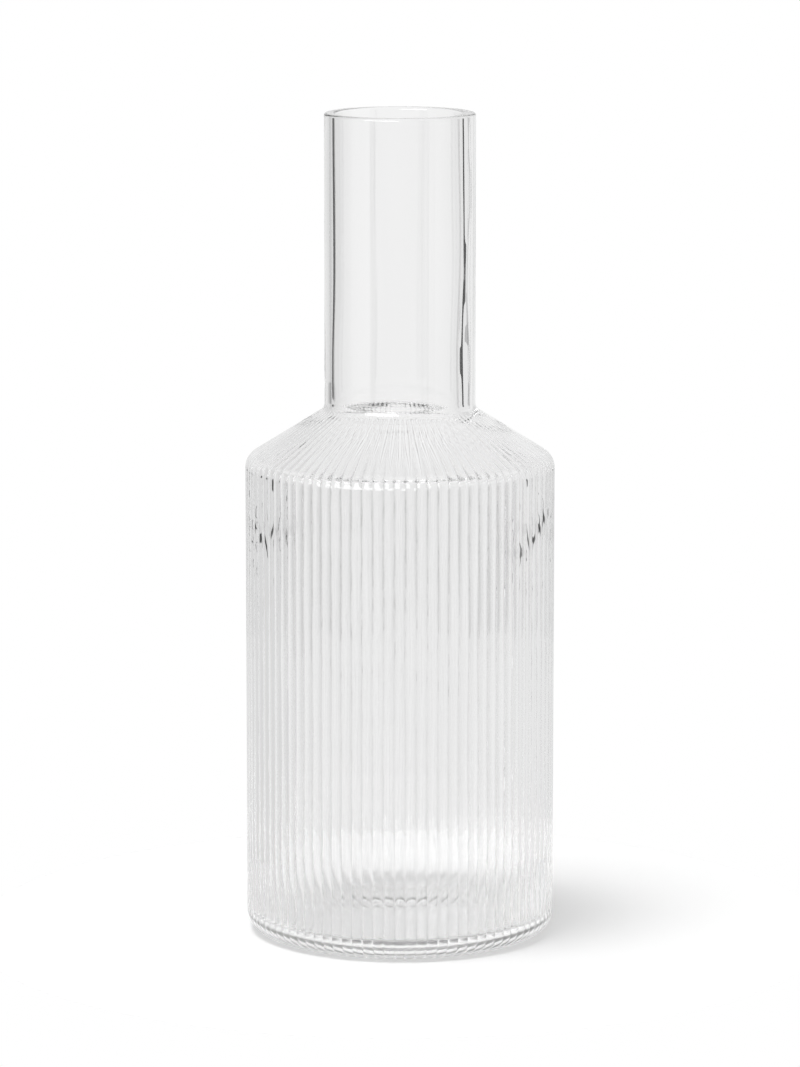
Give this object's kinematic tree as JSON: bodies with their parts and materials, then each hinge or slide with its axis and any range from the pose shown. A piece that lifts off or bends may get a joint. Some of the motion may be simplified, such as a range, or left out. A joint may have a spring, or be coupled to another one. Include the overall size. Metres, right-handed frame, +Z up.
{
  "type": "carafe",
  "caption": "Clear glass carafe with a ribbed round body, a ribbed sloping shoulder and a plain straight neck with an open rim, for holding and pouring drinks.",
  "frame": {"origin": "centre of the foot, on the surface that the carafe stands on", "axes": "+Z up along the axis of the body and neck; +X and +Y level, and alike because the form is round"},
  "size_m": [0.1, 0.1, 0.267],
  "materials": {
    "glass": "clear, fire-polished"
  },
  "bodies": {
    "root": {"base": "glass", "body_wall": "glass", "shoulder": "glass", "neck": "glass"}
  },
  "joints": []
}
